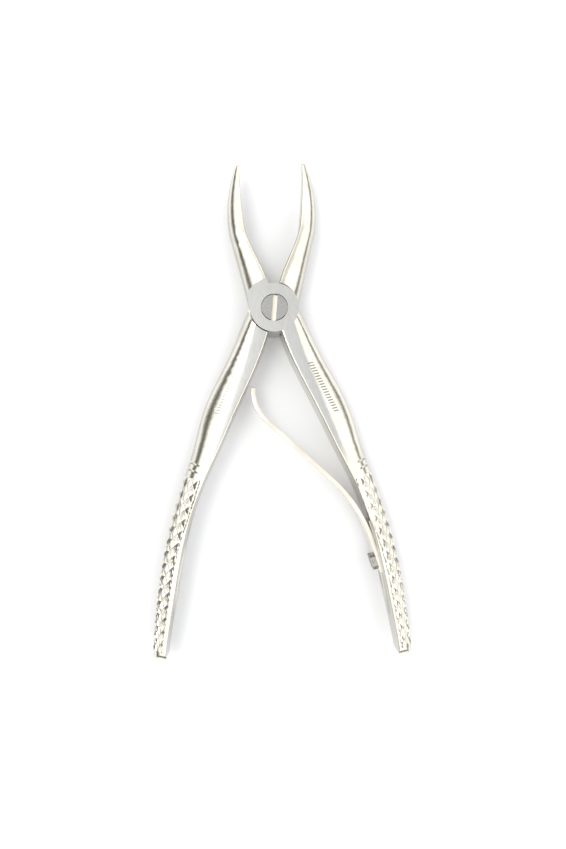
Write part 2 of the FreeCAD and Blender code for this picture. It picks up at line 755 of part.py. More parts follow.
def leaf_section(body, away, up, turn):
    """The strip's rectangular section, square to its middle line."""
    sketch = new_sketch(body, "strip_section", "XZ_Plane")
    x_place, y_place = inner_side_point("sizes.leaf_bend_start", away, up)
    lean = "sizes.seat_angle + " + turn
    sketch.AttachmentOffset = Placement(Vector(number(x_place), 0, -number(y_place)),
                                        Rotation(Y_AXIS, number(lean)))
    sketch.setExpression("AttachmentOffset.Base.x", x_place)
    sketch.setExpression("AttachmentOffset.Base.z", "-(%s)" % y_place)
    side = "sizes.leaf_thickness / 2"
    edge = "sizes.leaf_width / 2"
    polygon(sketch, [("-" + side, "-" + edge), (side, "-" + edge), (side, edge), ("-" + side, edge)])
    return sketch


def sweep_strip(body, name, profile, spine):
    """The strip, swept along every edge of its middle line."""
    pipe = body.newObject("PartDesign::AdditivePipe", name)
    pipe.Profile = profile
    pipe.Spine = (spine, ["Edge%d" % (index + 1) for index in range(len(spine.Geometry))])
    pipe.Mode = "Standard"
    return pipe


def spring_foot():
    """The straight foot that lies on its pad, and the first stretch of the bend."""
    body = new_body("spring_foot")
    spine = new_sketch(body, "middle_line", "XY_Plane")
    place_on_inner_side(spine, "sizes.leaf_bend_start")
    level = "(sizes.seat_depth - sizes.leaf_thickness / 2)"
    foot = "((sizes.leaf_end - sizes.leaf_bend_start) / cos(sizes.seat_angle * 1 deg))"
    stop = "(sizes.leaf_split_angle - sizes.leaf_split_gap / sizes.leaf_bend_radius * 180 / pi)"
    away, up = leaf_centre(stop)
    half_away, half_up = leaf_centre(stop + " / 2")
    start = Vector(number(level), number("-" + foot), 0)
    bend = Vector(number(level), 0, 0)
    middle = Vector(number(half_away), number(half_up), 0)
    end = Vector(number(away), number(up), 0)
    spine.addGeometry([Part.LineSegment(start, bend), Part.Arc(bend, middle, end)])
    joined = far_end(spine, 1, bend)
    spine.addConstraint(Sketcher.Constraint("Tangent", 0, 2, 1, joined))
    spine.addConstraint(Sketcher.Constraint("Vertical", 0))
    hold(spine, "level", level, "DistanceX", -1, 1, 0, 1)
    hold(spine, "foot", "-" + foot, "DistanceY", -1, 1, 0, 1)
    hold(spine, "bend_height", "0", "DistanceY", -1, 1, 0, 2)
    hold(spine, "bend_radius", "sizes.leaf_bend_radius", "Radius", 1)
    hold(spine, "stop_height", up, "DistanceY", -1, 1, 1, 3 - joined)
    doc.recompute()
    profile = leaf_section(body, level, "-" + foot, "0")
    sweep_strip(body, "strip", profile, spine)
    doc.recompute()
    hole = inner_side_plane(body, "screw_hole_outline", "sizes.leaf_screw_place",
                            "sizes.seat_depth - sizes.leaf_thickness")
    round_hole(body, "screw_hole", hole, "sizes.leaf_screw_radius + sizes.leaf_hole_gap",
               "sizes.leaf_thickness", reversed_cut=True)
    return body


def spring_arm():
    """The rest of the bend, the straight arm that crosses to the other handle and the curl at its end."""
    body = new_body("spring_arm")
    spine = new_sketch(body, "middle_line", "XY_Plane")
    place_on_inner_side(spine, "sizes.leaf_bend_start")
    first_turn = "(sizes.leaf_split_angle + sizes.leaf_split_gap / sizes.leaf_bend_radius * 180 / pi)"
    last_turn = "sizes.leaf_bend_angle"
    start_away, start_up = leaf_centre(first_turn)
    middle_away, middle_up = leaf_centre("(%s + %s) / 2" % (first_turn, last_turn))
    end_away, end_up = leaf_centre(last_turn)
    turn = number(last_turn)
    curl = number("sizes.leaf_curl_angle")
    reach = number("sizes.leaf_curl_radius")
    start = Vector(number(start_away), number(start_up), 0)
    middle = Vector(number(middle_away), number(middle_up), 0)
    straight = Vector(number(end_away), number(end_up), 0)
    along = Rotation(Z_AXIS, turn).multVec(Vector(0, 1, 0))
    away = Rotation(Z_AXIS, turn).multVec(Vector(1, 0, 0))
    curl_start = straight + along * number("sizes.leaf_arm")
    curl_centre = curl_start + away * reach
    curl_middle = curl_centre - Rotation(Z_AXIS, -curl / 2).multVec(away) * reach
    curl_end = curl_centre - Rotation(Z_AXIS, -curl).multVec(away) * reach
    spine.addGeometry([
        Part.Arc(start, middle, straight),
        Part.LineSegment(straight, curl_start),
        Part.Arc(curl_start, curl_middle, curl_end),
    ])
    bend_end = far_end(spine, 0, straight)
    curl_first = far_end(spine, 2, curl_start)
    spine.addConstraint([
        Sketcher.Constraint("Tangent", 0, bend_end, 1, 1),
        Sketcher.Constraint("Tangent", 1, 2, 2, curl_first),
    ])
    hold(spine, "start_x", start_away, "DistanceX", -1, 1, 0, 3 - bend_end)
    hold(spine, "start_y", start_up, "DistanceY", -1, 1, 0, 3 - bend_end)
    hold(spine, "bend_radius", "sizes.leaf_bend_radius", "Radius", 0)
    hold(spine, "bend_end_x", end_away, "DistanceX", -1, 1, 1, 1)
    hold(spine, "bend_end_y", end_up, "DistanceY", -1, 1, 1, 1)
    hold(spine, "arm", "sizes.leaf_arm", "Distance", 1)
    hold(spine, "curl_radius", "sizes.leaf_curl_radius", "Radius", 2)
    hold(spine, "curl_angle", "sizes.leaf_curl_angle * 1 deg", "Angle", 2)
    doc.recompute()
    profile = leaf_section(body, start_away, start_up, first_turn)
    sweep_strip(body, "strip", profile, spine)
    taper_arm(body)
    return body


def taper_arm(body):
    """Narrows the arm towards its tip, on both edges."""
    before = volume(body.Tip)
    sketch = new_sketch(body, "taper_outline", "YZ_Plane")
    start_y = "-sizes.seat_start + sizes.leaf_taper_start"
    end_y = "-sizes.seat_start + sizes.leaf_arm + sizes.leaf_taper_end"
    wide = "sizes.leaf_width / 2"
    narrow = "sizes.leaf_tip_width / 2"
    for sign in ("", "-1 * "):
        polygon(sketch, [
            (start_y, "%s(%s)" % (sign, wide)),
            (end_y, "%s(%s)" % (sign, narrow)),
            (end_y, "%s(%s + %d)" % (sign, wide, PAST)),
            (start_y, "%s(%s + %d)" % (sign, wide, PAST)),
        ])
    pocket = body.newObject("PartDesign::Pocket", "taper")
    pocket.Profile = sketch
    pocket.Midplane = True
    pocket.Length = THROUGH
    check_cut(before, pocket)


def spring_screw():
    """The small slotted cheese-head screw that holds the foot. It is drawn upright under its head."""
    body = new_body("spring_screw")
    profile = new_sketch(body, "profile", "XZ_Plane")
    polygon(profile, [
        ("0", "sizes.leaf_head_height"),
        ("sizes.leaf_head_radius", "sizes.leaf_head_height"),
        ("sizes.leaf_head_radius", "0"),
        ("sizes.leaf_screw_radius", "0"),
        ("sizes.leaf_screw_radius", "-(sizes.leaf_thickness + sizes.leaf_screw_length)"),
        ("0", "-(sizes.leaf_thickness + sizes.leaf_screw_length)"),
    ])
    turned = body.newObject("PartDesign::Revolution", "turned")
    turned.Profile = profile
    turned.ReferenceAxis = (profile, ["V_Axis"])
    turned.Angle = 360
    cut_slot(body, "slot", "sizes.leaf_head_height", "sizes.leaf_head_radius", "sizes.leaf_slot_width",
             "sizes.leaf_slot_depth")
    return body


# ------------------------------------------------------------------------------------------- assembly

lift = Placement(Vector(0, 0, number("sizes.body_depth / 2")), Rotation())
front_open = lift * Placement(Vector(), Rotation(Z_AXIS, number("sizes.half_opening")))
turned_over = Placement(Vector(), Rotation(Y_AXIS, 180))
back_open = lift * Placement(Vector(), Rotation(Z_AXIS, -number("sizes.half_opening"))) * turned_over

screw_x, screw_y = inner_side_point("sizes.leaf_screw_place", "sizes.seat_depth - sizes.leaf_thickness")
on_foot = Placement(
    Vector(number(screw_x), number(screw_y), 0),
    Rotation(Z_AXIS, number("sizes.seat_angle")) * Rotation(Y_AXIS, -90),
)

parts = {
    front_half(): front_open,
    back_half(): back_open,
    pivot_screw(): lift * Placement(Vector(), Rotation(Z_AXIS, number("sizes.slot_turn"))),
    spring_foot(): front_open,
    spring_arm(): front_open,
    spring_screw(): front_open * on_foot,
}
for body, place in parts.items():
    body.Placement = place
doc.recompute()

# ------------------------------------------------------------------------------------ check and export

for item in doc.Objects:
    if "Invalid" in item.State or "Error" in item.State:
        raise RuntimeError("%s: %s" % (item.Label, item.State))

os.makedirs("parts", exist_ok=True)
for body in parts:
    if body.Shape.isNull() or not body.Shape.isValid() or len(body.Shape.Solids) != 1:
        raise RuntimeError("%s is not one valid solid" % body.Label)
    body.Shape.exportStep(os.path.join("parts", body.Label + ".step"))
    print("%-12s %8.1f mm3" % (body.Label, body.Shape.Volume))
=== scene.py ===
import math

import bmesh
import bpy
from mathutils import Matrix, Vector


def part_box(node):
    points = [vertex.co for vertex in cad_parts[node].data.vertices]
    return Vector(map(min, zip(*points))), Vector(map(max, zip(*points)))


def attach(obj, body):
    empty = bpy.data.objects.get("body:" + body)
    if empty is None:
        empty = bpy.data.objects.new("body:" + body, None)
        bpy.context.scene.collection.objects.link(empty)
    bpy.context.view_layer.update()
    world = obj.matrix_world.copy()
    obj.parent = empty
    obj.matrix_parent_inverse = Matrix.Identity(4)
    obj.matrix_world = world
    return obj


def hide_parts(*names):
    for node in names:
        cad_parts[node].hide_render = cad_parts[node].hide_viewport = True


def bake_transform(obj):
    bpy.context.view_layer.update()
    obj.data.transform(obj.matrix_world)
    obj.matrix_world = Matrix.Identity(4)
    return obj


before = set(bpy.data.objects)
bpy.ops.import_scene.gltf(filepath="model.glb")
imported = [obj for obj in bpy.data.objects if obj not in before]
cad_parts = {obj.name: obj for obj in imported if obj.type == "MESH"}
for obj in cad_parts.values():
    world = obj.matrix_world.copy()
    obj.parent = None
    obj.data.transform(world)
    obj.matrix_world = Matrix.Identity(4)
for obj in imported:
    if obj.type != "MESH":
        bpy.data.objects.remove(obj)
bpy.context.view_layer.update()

# ------------------------------------------------------------------------------------- the two halves
# Each half is one forging of martensitic stainless steel: beak, neck, lap joint and handle in one.
# The flats of the joint are ground to a satin, the rest is polished, and a diamond knurl is milled
# into the outside of the grip. The two are the same forging, one turned over and laid on the other.

# lengths are in mm and are brought to metres by MM; each half's own frame is turned by HALF_OPENING
MM = 0.001
BODY_DEPTH = 9.2
HALF_OPENING = math.radians(11.8)

# the knurl: teeth to a row and rows round the grip, and the mesh's steps over one tooth
GRIP_START = 44.3
TOOTH_LENGTH, TOOTH_WIDTH, TOOTH_DEPTH = 3.1, 2.15, 0.42
TEETH_ALONG, TEETH_ACROSS = 14, 7
TOOTH_STEPS = 16
# rise of a tooth's flank over a pitch: past 2 it leaves a small flat on the tooth
TOOTH_FLANK = 2.1
# plain edge beside the knurl on each half, and the distance over which the teeth run out into it
FRONT_BORDER, BACK_BORDER, KNURL_RUN_OUT = 0.6, 1.0, 0.3
# the slab's inner side stands this far off the plain edge and off the teeth's tops, and its outer side
# this far out; the last is deeper than any tooth, so the rule for the outer side leaves the inner alone
EDGE_CLEAR, TOOTH_CLEAR, SLAB_OUT, SLAB_FAR_IN = 0.05, 0.004, 0.8, 10.0
# radians to each mm round the grip at its crown, and how much less with each mm away from the crown
CROWN_TURN, TURN_SLOWING = 0.357, 0.0122
# a ray starts this far out from the grip's middle line
CLEAR_OF_GRIP = 15
# distance of the grip's middle line and of its inner edge from the line of symmetry, along the handle
GRIP_MIDDLE = ((40, 11.0), (53, 12.6), (63, 13.6), (77, 13.3), (92, 12.1))
GRIP_INNER = ((40, 8.2), (53, 10.0), (63, 11.2), (77, 11.1), (92, 10.4))
# the two lines are held as shares of this distance
CURVE_SPAN = 20.0
# corners nearer than the first, in metres, are merged, and edges shorter than the second are dissolved
WELD, SLIVER = 1e-6, 1e-8
SHARP_EDGE = math.radians(28)

# a face counts as ground flat by the upright share of its normal, and within this of the outer faces
GROUND_NORMAL, GROUND_WITHIN = (0.985, 0.997), (0.25, 0.1)
# the satin fades out between these places down the upper handle
SATIN_END = (-42, -36)
POLISHED, GROUND = ("efeadb", "fbf7ea"), ("b9bab9", "cbcbc9")
# the first two are a painted shade: a darker tone on the narrow sides, standing in for the dark
# reflections along the polished edges
SIDE_SHADE, SIDE_SHADE_SHARE, ETCHED = "a8a7a4", 0.7, "55555a"
# where the painted shade on the narrow sides takes over from the polish, by the same share
SIDE_SHADE_NORMAL = (0.72, 0.45)
# the part of a finish's marks over which one tone passes into the other
CLOUD_SPREAD, GRAIN_SPREAD = (0.35, 0.65), (0.3, 0.7)

# one row of etched bars: step, the bar's soft edges from the middle of a step, half height and soft
# edge of the row; then its two ends, its place and its lean; then its height and how dark it is
BAR_STEP, BAR_WIDTH, BAR_HALF_HEIGHT, BAR_SOFT = 0.7, (0.18, 0.22), 0.65, 0.05
BAR_ROW_ENDS, BAR_ROW_START, BAR_ROW_LEAN = (-28.25, -14.65), 1.4, 0.27
BAR_ABOVE, BAR_FRONT_DARK, BAR_BACK_DARK = (8.0, 8.4), 0.75, 0.4


def linear(code):
    """An sRGB hex colour as linear red, green, blue and alpha."""
    parts = [int(code[i:i + 2], 16) / 255 for i in (0, 2, 4)]
    return [c / 12.92 if c <= 0.04045 else ((c + 0.055) / 1.055) ** 2.4 for c in parts] + [1.0]


def node(tree, kind, inputs=(), **settings):
    """Adds a node with its settings. Its inputs are given by name, or in order over those in use, and
    each is a value, a socket, or a node that stands for its first output in use."""
    made = tree.nodes.new(kind)
    for name, value in settings.items():
        setattr(made, name, value)
    in_use = [socket for socket in made.inputs if socket.enabled]
    for key, value in (inputs.items() if isinstance(inputs, dict) else enumerate(inputs)):
        target = made.inputs[key] if isinstance(key, str) else in_use[key]
        if isinstance(value, bpy.types.Node):
            value = next(socket for socket in value.outputs if socket.enabled)
        if isinstance(value, bpy.types.NodeSocket):
            tree.links.new(value, target)
        else:
            target.default_value = value
    return made


def knurl_tree():
    """Mills a diamond knurl into a handle: a curved slab follows the grip's outside, one side of it
    carries the teeth's spaces, and it is cut out of the forging."""
    tree = bpy.data.node_groups.new("diamond knurl", "GeometryNodeTree")
    face = tree.interface
    face.new_socket(name="Geometry", in_out="INPUT", socket_type="NodeSocketGeometry")
    for name in ("Tooth Length", "Tooth Width", "Tooth Depth", "Side", "Border"):
        face.new_socket(name=name, in_out="INPUT", socket_type="NodeSocketFloat")
    face.new_socket(name="Material", in_out="INPUT", socket_type="NodeSocketMaterial")
    face.new_socket(name="Geometry", in_out="OUTPUT", socket_type="NodeSocketGeometry")
    given = node(tree, "NodeGroupInput").outputs
    forging, side = given["Geometry"], given["Side"]

    # the slab starts as a unit block, whose long sides count the teeth along and round the grip
    slab = node(tree, "GeometryNodeMeshCube", {
        "Size": (1, 1, 1), "Vertices X": TEETH_ALONG * TOOTH_STEPS + 1,
        "Vertices Y": TEETH_ACROSS * TOOTH_STEPS + 1, "Vertices Z": 2})
    where = node(tree, "ShaderNodeSeparateXYZ", (node(tree, "GeometryNodeInputPosition"),)).outputs
    teeth_along = node(tree, "ShaderNodeMath", (where["X"], TEETH_ALONG, TEETH_ALONG / 2),
                       operation="MULTIPLY_ADD")
    teeth_across = node(tree, "ShaderNodeMath", (where["Y"], TEETH_ACROSS), operation="MULTIPLY")
    along = node(tree, "ShaderNodeMath", (teeth_along, given["Tooth Length"], GRIP_START),
                 operation="MULTIPLY_ADD")
    around = node(tree, "ShaderNodeMath", (teeth_across, given["Tooth Width"]), operation="MULTIPLY")
    # the grip is flatter on its broad faces than at its crown, so the turn slows away from the crown
    from_crown = node(tree, "ShaderNodeMath", (around,), operation="ABSOLUTE")
    slow = node(tree, "ShaderNodeMath", (from_crown, -TURN_SLOWING, CROWN_TURN), operation="MULTIPLY_ADD")
    turn = node(tree, "ShaderNodeMath", (around, slow), operation="MULTIPLY")
    cosine = node(tree, "ShaderNodeMath", (turn,), operation="COSINE")
    sine = node(tree, "ShaderNodeMath", (turn,), operation="SINE")

    grip_lines = []
    for points in (GRIP_MIDDLE, GRIP_INNER):
        first, last = points[0][0], points[-1][0]
        share = node(tree, "ShaderNodeMapRange", (along, first, last))
        line = node(tree, "ShaderNodeFloatCurve", {"Value": share})
        curve = line.mapping.curves[0]
        while len(curve.points) < len(points):
            curve.points.new(0.5, 0.5)
        for point, (place, value) in zip(curve.points, points):
            point.location = ((place - first) / (last - first), value / CURVE_SPAN)
        line.mapping.update()
        grip_lines.append(node(tree, "ShaderNodeMath", (line, CURVE_SPAN), operation="MULTIPLY"))
    middle, edge = grip_lines

    # a ray leaves the grip's middle line at each place of the slab, in the half's own frame
    turned_over = node(tree, "ShaderNodeMath", (side, -1.0), operation="MULTIPLY")
    own_ray = node(tree, "ShaderNodeCombineXYZ", {
        "X": node(tree, "ShaderNodeMath", (cosine, side), operation="MULTIPLY"),
        "Z": node(tree, "ShaderNodeMath", (sine, turned_over), operation="MULTIPLY")})
    own_start = node(tree, "ShaderNodeCombineXYZ", {
        "X": node(tree, "ShaderNodeMath", (middle, side), operation="MULTIPLY"),
        "Y": node(tree, "ShaderNodeMath", (along, -1.0), operation="MULTIPLY")})
    opening = node(tree, "ShaderNodeMath", (side, HALF_OPENING), operation="MULTIPLY")
    ray, start = [
        node(tree, "ShaderNodeVectorRotate", {"Vector": own, "Angle": opening}, rotation_type="Z_AXIS")
        for own in (own_ray, own_start)]
    placed = node(tree, "ShaderNodeVectorMath", (start, (MM, MM, MM), (0, 0, BODY_DEPTH / 2 * MM)),
                  operation="MULTIPLY_ADD")

    # the grip's skin is found from outside, because the spring screw's hole is in the way within
    outside = node(tree, "ShaderNodeVectorMath", (ray, (CLEAR_OF_GRIP * MM,) * 3, placed),
                   operation="MULTIPLY_ADD")
    inwards = node(tree, "ShaderNodeVectorMath", (ray, -1.0), operation="SCALE")
    hit = node(tree, "GeometryNodeRaycast", {
        "Target Geometry": forging, "Source Position": outside, "Ray Direction": inwards,
        "Ray Length": CLEAR_OF_GRIP * MM}).outputs["Hit Position"]
    reach = node(tree, "ShaderNodeVectorMath", (hit, placed), operation="DISTANCE")
    reach = node(tree, "ShaderNodeMath", (reach, MM), operation="DIVIDE")

    # the teeth fade out towards the grip's inner edge
    outwards = node(tree, "ShaderNodeMath", (cosine, reach, middle), operation="MULTIPLY_ADD")
    border = node(tree, "ShaderNodeMath", (edge, given["Border"]), operation="ADD")
    past_border = node(tree, "ShaderNodeMath", (outwards, border), operation="SUBTRACT")
    milled = node(tree, "ShaderNodeMapRange", (past_border, 0.0, KNURL_RUN_OUT))

    # two sets of grooves cross on a slant, and a tooth stands between them
    grooves = []
    for slant in ("ADD", "SUBTRACT"):
        count = node(tree, "ShaderNodeMath", (teeth_along, teeth_across), operation=slant)
        grooves.append(node(tree, "ShaderNodeMath", (count, 0.5), operation="PINGPONG"))
    nearest = node(tree, "ShaderNodeMath", grooves, operation="MINIMUM")
    flank = node(tree, "ShaderNodeMath", (nearest, TOOTH_FLANK), operation="MULTIPLY")
    tooth = node(tree, "ShaderNodeMath", (flank, 1.0), operation="MINIMUM")
    hollow = node(tree, "ShaderNodeMath", (1.0, tooth), operation="SUBTRACT")
    space = node(tree, "ShaderNodeMath", (hollow, given["Tooth Depth"]), operation="MULTIPLY")

    # the slab's inner side carries the teeth, and its outer side stays clear of the grip
    clear = node(tree, "ShaderNodeMapRange", (milled, 0.0, 1.0, EDGE_CLEAR, TOOTH_CLEAR))
    sunk = node(tree, "ShaderNodeMath", (space, milled), operation="MULTIPLY")
    inner = node(tree, "ShaderNodeMath", (clear, sunk), operation="SUBTRACT")
    is_outer = node(tree, "ShaderNodeMath", (where["Z"], 0.0), operation="GREATER_THAN")
    outer = node(tree, "ShaderNodeMath", (is_outer, SLAB_OUT + SLAB_FAR_IN, -SLAB_FAR_IN),
                 operation="MULTIPLY_ADD")
    offset = node(tree, "ShaderNodeMath", (inner, outer), operation="MAXIMUM")
    length = node(tree, "ShaderNodeMath", (reach, offset), operation="ADD")
    length = node(tree, "ShaderNodeMath", (length, MM), operation="MULTIPLY")
    along_ray = node(tree, "ShaderNodeVectorMath", (ray, length), operation="SCALE")
    final = node(tree, "ShaderNodeVectorMath", (placed, along_ray), operation="ADD")
    slab = node(tree, "GeometryNodeSetPosition", {"Geometry": slab, "Position": final})

    cut = node(tree, "GeometryNodeMeshBoolean", (forging, slab), operation="DIFFERENCE", solver="MANIFOLD")
    whole = node(tree, "GeometryNodeRealizeInstances", {"Geometry": cut})
    dressed = node(tree, "GeometryNodeSetMaterial", {"Geometry": whole, "Material": given["Material"]})
    node(tree, "NodeGroupOutput", (dressed,))
    return tree


def material(name):
    made = bpy.data.materials.new(name)
    made.use_nodes = True
    made.node_tree.nodes.clear()
    return made


def steel_marks(tree, place, per_mm, stretch, detail):
    """Uneven marks left by a finish, so many to the millimetre, and drawn out by the stretch."""
    drawn = node(tree, "ShaderNodeMapping", {"Vector": place, "Scale": stretch})
    return node(tree, "ShaderNodeTexNoise", {"Vector": drawn, "Scale": per_mm / MM, "Detail": detail})


def forged_steel(side):
    """Stainless steel: mirror polish dulled by fine scratches along the handle, a ground satin on the
    joint's flats, and a row of plain etched bars on the upper handle."""
    made = material("polished stainless steel %s" % ("front" if side > 0 else "back"))
    tree = made.node_tree
    place = node(tree, "ShaderNodeTexCoord").outputs["Object"]
    own = node(tree, "ShaderNodeVectorRotate", {"Vector": place, "Angle": -side * HALF_OPENING},
               rotation_type="Z_AXIS")
    at = node(tree, "ShaderNodeSeparateXYZ", (own,)).outputs
    height = node(tree, "ShaderNodeSeparateXYZ", (place,)).outputs["Z"]
    facing = node(tree, "ShaderNodeNewGeometry").outputs["Normal"]
    upright = node(tree, "ShaderNodeSeparateXYZ", (facing,)).outputs["Z"]
    upright = node(tree, "ShaderNodeMath", (upright,), operation="ABSOLUTE")

    # the satin lies on level faces at the joint's outer faces, and ends on the upper handle
    soft_from, soft_to = GROUND_WITHIN
    flat = node(tree, "ShaderNodeMapRange", (upright, *GROUND_NORMAL))
    top = node(tree, "ShaderNodeMapRange", (
        height, (BODY_DEPTH - soft_from) * MM, (BODY_DEPTH - soft_to) * MM))
    low = node(tree, "ShaderNodeMapRange", (height, soft_from * MM, soft_to * MM))
    outer = node(tree, "ShaderNodeMath", (top, low), operation="MAXIMUM")
    upper = node(tree, "ShaderNodeMapRange", (at["Y"], SATIN_END[0] * MM, SATIN_END[1] * MM))
    satin = node(tree, "ShaderNodeMath", (flat, upper), operation="MULTIPLY")
    satin = node(tree, "ShaderNodeMath", (satin, outer), operation="MULTIPLY")

    # nine grinding lines to the millimetre, twice as many polishing scratches, and a slow unevenness
    grain = steel_marks(tree, own, 9, (1.0, 0.06, 1.0), 4.0)
    fine = steel_marks(tree, own, 18, (1.0, 0.04, 1.0), 2.0)
    cloud = steel_marks(tree, place, 0.16, (1.0, 1.0, 1.0), 3.0)
    clouded = node(tree, "ShaderNodeMapRange", (cloud, *CLOUD_SPREAD))
    grained = node(tree, "ShaderNodeMapRange", (grain, *GRAIN_SPREAD))
    tone = node(tree, "ShaderNodeMix", (clouded, *map(linear, POLISHED)), data_type="RGBA")
    dull = node(tree, "ShaderNodeMix", (grained, *map(linear, GROUND)), data_type="RGBA")
    # painted shade: the narrow sides are painted darker than the broad faces, standing in for the dark
    # reflections along the polished edges
    side_shade_on = node(tree, "ShaderNodeMapRange", (upright, *SIDE_SHADE_NORMAL))
    side_shade = node(tree, "ShaderNodeMath", (side_shade_on, SIDE_SHADE_SHARE), operation="MULTIPLY")
    tone = node(tree, "ShaderNodeMix", (side_shade, tone, linear(SIDE_SHADE)), data_type="RGBA")
    colour = node(tree, "ShaderNodeMix", (satin, tone, dull), data_type="RGBA")

    # the bars stand 0.7 mm apart in one row down the handle, each about 0.3 mm wide and 1.3 mm tall
    pitch = node(tree, "ShaderNodeMath", (at["Y"], BAR_STEP / 2 * MM), operation="PINGPONG")
    bars = node(tree, "ShaderNodeMapRange", (pitch, BAR_WIDTH[0] * MM, BAR_WIDTH[1] * MM))
    row_line = node(tree, "ShaderNodeMath", (at["Y"], -BAR_ROW_LEAN * side, BAR_ROW_START * MM * side),
                    operation="MULTIPLY_ADD")
    from_row = node(tree, "ShaderNodeMath", (at["X"], row_line), operation="SUBTRACT")
    from_row = node(tree, "ShaderNodeMath", (from_row,), operation="ABSOLUTE")
    row = node(tree, "ShaderNodeMapRange", (
        from_row, (BAR_HALF_HEIGHT + BAR_SOFT) * MM, (BAR_HALF_HEIGHT - BAR_SOFT) * MM))
    lower_end, upper_end = BAR_ROW_ENDS
    after = node(tree, "ShaderNodeMapRange", (
        at["Y"], (lower_end - BAR_SOFT) * MM, (lower_end + BAR_SOFT) * MM))
    before = node(tree, "ShaderNodeMapRange", (
        at["Y"], (upper_end + BAR_SOFT) * MM, (upper_end - BAR_SOFT) * MM))
    above = node(tree, "ShaderNodeMapRange", (height, BAR_ABOVE[0] * MM, BAR_ABOVE[1] * MM))
    etched = bars
    for limit in (row, after, before, above, BAR_FRONT_DARK if side > 0 else BAR_BACK_DARK):
        etched = node(tree, "ShaderNodeMath", (etched, limit), operation="MULTIPLY")
    colour = node(tree, "ShaderNodeMix", (etched, colour, linear(ETCHED)), data_type="RGBA")

    gloss = node(tree, "ShaderNodeMath", (fine, 0.10, 0.17), operation="MULTIPLY_ADD")
    rough = node(tree, "ShaderNodeMath", (grain, 0.10, 0.36), operation="MULTIPLY_ADD")
    rough = node(tree, "ShaderNodeMix", (satin, gloss, rough), data_type="FLOAT")
    bump = node(tree, "ShaderNodeBump", {"Strength": 0.12, "Distance": 0.02 * MM, "Height": grain})
    shader = node(tree, "ShaderNodeBsdfPrincipled", {
        "Base Color": colour, "Metallic": 1.0, "Roughness": rough, "Normal": bump})
    node(tree, "ShaderNodeOutputMaterial", {"Surface": shader})
    return made


def merged_copy(name, new_name):
    """A CAD node's mesh as one closed skin, in an object of its own."""
    made = bpy.data.objects.new(new_name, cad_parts[name].data.copy())
    bpy.context.scene.collection.objects.link(made)
    mesh = bmesh.new()
    mesh.from_mesh(made.data)
    bmesh.ops.remove_doubles(mesh, verts=mesh.verts, dist=WELD)
    bmesh.ops.dissolve_degenerate(mesh, edges=mesh.edges, dist=SLIVER)
    mesh.to_mesh(made.data)
    mesh.free()
    made.data.materials.clear()
    # the merge leaves the corners' own normals pointing astray, so they are worked out afresh
    stored = made.data.attributes.get("custom_normal")
    if stored:
        made.data.attributes.remove(stored)
    return made


def plain_mesh(made):
    """Works the object's modifiers into a plain mesh, with sharp edges kept sharp."""
    made_plain = bpy.data.meshes.new_from_object(
        made.evaluated_get(bpy.context.evaluated_depsgraph_get()))
    made.modifiers.clear()
    made.data = made_plain
    made_plain.polygons.foreach_set("use_smooth", [True] * len(made_plain.polygons))
    made_plain.set_sharp_from_angle(angle=SHARP_EDGE)
    # broad ground faces keep their own direction, so that thin triangles at their rims do not shade them
    level = made.modifiers.new("level", "WEIGHTED_NORMAL")
    level.mode = "FACE_AREA"
    level.weight = 100
    level.keep_sharp = True
    made.data = bpy.data.meshes.new_from_object(
        made.evaluated_get(bpy.context.evaluated_depsgraph_get()))
    made.modifiers.clear()


knurl = knurl_tree()
sockets = {item.name: item.identifier for item in knurl.interface.items_tree if item.in_out == "INPUT"}
for body, side, border in (("front", 1.0, FRONT_BORDER), ("back", -1.0, BACK_BORDER)):
    half = merged_copy(body + "_half", "forged_" + body + "_half")
    milling = half.modifiers.new("knurl", "NODES")
    milling.node_group = knurl
    values = {"Tooth Length": TOOTH_LENGTH, "Tooth Width": TOOTH_WIDTH, "Tooth Depth": TOOTH_DEPTH,
              "Side": side, "Border": border, "Material": forged_steel(side)}
    for name, value in values.items():
        milling[sockets[name]] = value
    plain_mesh(half)
    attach(half, body)
    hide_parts(body + "_half")

# ----------------------------------------------------------------------------------- the pivot screw
# A slotted screw of turned stainless steel, its head ground flush with the joint's flat face. It runs
# in the front half and is screwed tight into the back half.

# the slot's floor colour is a painted highlight, laid on below the slot's depth
PIVOT_LIGHT, PIVOT_DARK, SLOT_FLOOR_HIGHLIGHT = "b2b2b1", "a3a3a3", "fbf6e8"
SLOT_HIGHLIGHT_DEPTH, SLOT_HIGHLIGHT_SOFT = 0.7, 0.1
TURNING_STEP = 0.12


